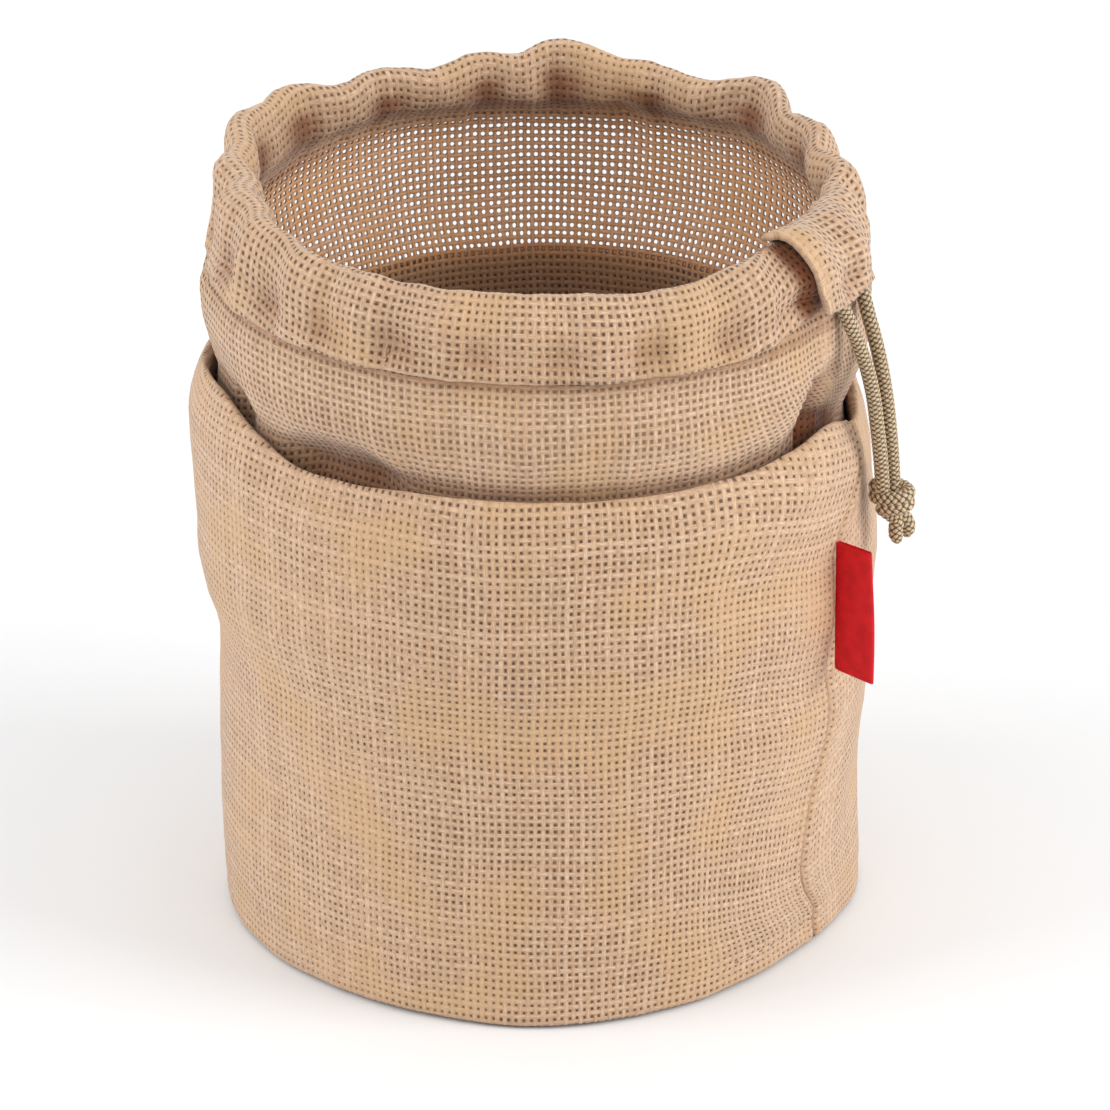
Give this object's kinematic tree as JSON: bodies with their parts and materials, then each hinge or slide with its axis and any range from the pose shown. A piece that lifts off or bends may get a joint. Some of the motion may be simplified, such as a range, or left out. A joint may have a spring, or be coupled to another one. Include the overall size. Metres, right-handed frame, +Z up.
{
  "type": "vegetable storage bag",
  "caption": "Round jute storage bag with a folded-over outer wall, an inner sack gathered by a drawstring, and a plain side label.",
  "frame": {"origin": "on the floor under the middle of the bag's round base", "axes": "+Z up out of the mouth, -Y to the front, +X to the right where the slit, knot and label are"},
  "size_m": [0.1953, 0.1855, 0.2167],
  "materials": {
    "jute": "open plain weave in natural jute, matt and a little hairy",
    "jute_base": "the same jute, seen from below",
    "cord": "round braided cord, khaki",
    "label": "folded red ribbon, plain"
  },
  "bodies": {
    "root": {"bag_wall": "jute", "base_disc": "jute_base", "drawstring_run": "cord", "drawstring_front_end": "cord", "drawstring_back_end": "cord", "drawstring_knot": "cord", "side_label": "label"}
  },
  "joints": []
}
